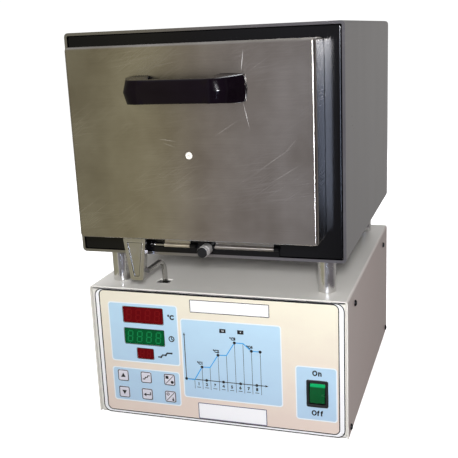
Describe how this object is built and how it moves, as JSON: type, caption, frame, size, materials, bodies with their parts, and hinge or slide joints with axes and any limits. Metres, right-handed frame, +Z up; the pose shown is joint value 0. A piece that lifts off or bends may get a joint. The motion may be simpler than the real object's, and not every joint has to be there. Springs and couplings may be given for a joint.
{
  "type": "preheating furnace",
  "caption": "Small chamber furnace with a drop-down door and bridge handle, standing on tube posts over a control box with displays, keys and a rocker switch.",
  "frame": {"origin": "centre of the object's footprint, on the surface that the rubber feet stand on", "axes": "+Z up, -Y towards the door and the control panel, +X to the right as seen from the front"},
  "size_m": [0.3, 0.4356, 0.4494],
  "materials": {
    "off_white_paint": "smooth semi-gloss powder coat",
    "printed_film": "printed polycarbonate film, satin",
    "red_window": "tinted clear film",
    "green_window": "tinted clear film",
    "circuit_board": "solder resist",
    "key_film": "embossed printed film",
    "black_plastic": "moulded, glossy",
    "green_lens": "translucent moulding",
    "zinc_plated_steel": "plated",
    "extruded_aluminium": "mill finish",
    "white_ceramic": "unglazed",
    "brushed_stainless": "horizontal brushing",
    "black_rubber": "matt",
    "black_enamel": "glossy stove enamel",
    "ceramic_fibre": "matt fibre board",
    "fireclay": "fired clay",
    "resistance_wire": "oxidised"
  },
  "bodies": {
    "furnace": {"base_tray": "off_white_paint", "cover": "off_white_paint", "front_overlay": "printed_film", "display_window_upper": "red_window", "display_window_lower": "green_window", "display_window_program": "red_window", "control_board": "circuit_board", "rocker_bezel": "black_plastic", "mains_inlet": "black_plastic", "fuse_holder": "black_plastic", "transformer": "zinc_plated_steel", "heat_sink": "extruded_aluminium", "solid_state_relay": "black_plastic", "terminal_block": "white_ceramic", "post_front_left": "brushed_stainless", "post_front_right": "brushed_stainless", "post_rear_left": "brushed_stainless", "post_rear_right": "brushed_stainless", "foot_front_left": "black_rubber", "foot_front_right": "black_rubber", "foot_rear_left": "black_rubber", "foot_rear_right": "black_rubber", "outer_shell": "brushed_stainless", "rear_cover": "brushed_stainless", "front_frame": "black_enamel", "insulation_block": "ceramic_fibre", "muffle": "fireclay", "heater_winding": "resistance_wire", "hearth_plate": "fireclay", "exhaust_port": "brushed_stainless", "thermocouple": "white_ceramic", "hinge_base_left": "black_enamel", "hinge_base_right": "black_enamel", "hinge_pin_left": "zinc_plated_steel", "hinge_pin_right": "zinc_plated_steel", "door_stop": "zinc_plated_steel", "stop_bumper": "black_rubber", "lever_bracket": "zinc_plated_steel", "lever_pin": "zinc_plated_steel", "lever_spring": "zinc_plated_steel", "door_microswitch": "black_plastic"},
    "door": {"door_pan": "brushed_stainless", "door_insulation": "ceramic_fibre", "door_backplate": "black_enamel", "peephole_tube": "white_ceramic", "door_handle": "black_plastic", "handle_bolt_left": "zinc_plated_steel", "handle_bolt_right": "zinc_plated_steel", "hinge_leaf_left": "brushed_stainless", "hinge_leaf_right": "brushed_stainless"},
    "safety_lever": {"lever_paddle": "brushed_stainless", "lever_rod": "zinc_plated_steel"},
    "switch_rocker": {"power_rocker": "green_lens"},
    "raise_key": {"key_raise": "key_film"},
    "program_key": {"key_program": "key_film"},
    "mode_key": {"key_mode": "key_film"},
    "lower_key": {"key_lower": "key_film"},
    "enter_key": {"key_enter": "key_film"},
    "time_key": {"key_time": "key_film"}
  },
  "joints": [
    {"name": "door_hinge", "type": "hinge", "parent": "furnace", "child": "door", "pos_m": [0, -0.1444, 0.2216], "axis": [1, 0, 0], "range_deg": [0, 90]},
    {"name": "lever_pivot", "type": "hinge", "parent": "furnace", "child": "safety_lever", "pos_m": [-0.069, -0.1015, 0.128], "axis": [-1, 0, 0], "range_deg": [0, 3], "stiffness_Nm_per_rad": 0.6, "springref_deg": -8.59},
    {"name": "rocker_tilt", "type": "hinge", "parent": "furnace", "child": "switch_rocker", "pos_m": [0.1168, -0.1351, 0.0595], "axis": [1, 0, 0], "range_deg": [0, 16]},
    {"name": "raise_press", "type": "slide", "parent": "furnace", "child": "raise_key", "axis": [0, 1, 0], "range_m": [0, 0.0004], "stiffness_N_per_m": 1500},
    {"name": "program_press", "type": "slide", "parent": "furnace", "child": "program_key", "axis": [0, 1, 0], "range_m": [0, 0.0004], "stiffness_N_per_m": 1500},
    {"name": "mode_press", "type": "slide", "parent": "furnace", "child": "mode_key", "axis": [0, 1, 0], "range_m": [0, 0.0004], "stiffness_N_per_m": 1500},
    {"name": "lower_press", "type": "slide", "parent": "furnace", "child": "lower_key", "axis": [0, 1, 0], "range_m": [0, 0.0004], "stiffness_N_per_m": 1500},
    {"name": "enter_press", "type": "slide", "parent": "furnace", "child": "enter_key", "axis": [0, 1, 0], "range_m": [0, 0.0004], "stiffness_N_per_m": 1500},
    {"name": "time_press", "type": "slide", "parent": "furnace", "child": "time_key", "axis": [0, 1, 0], "range_m": [0, 0.0004], "stiffness_N_per_m": 1500}
  ]
}
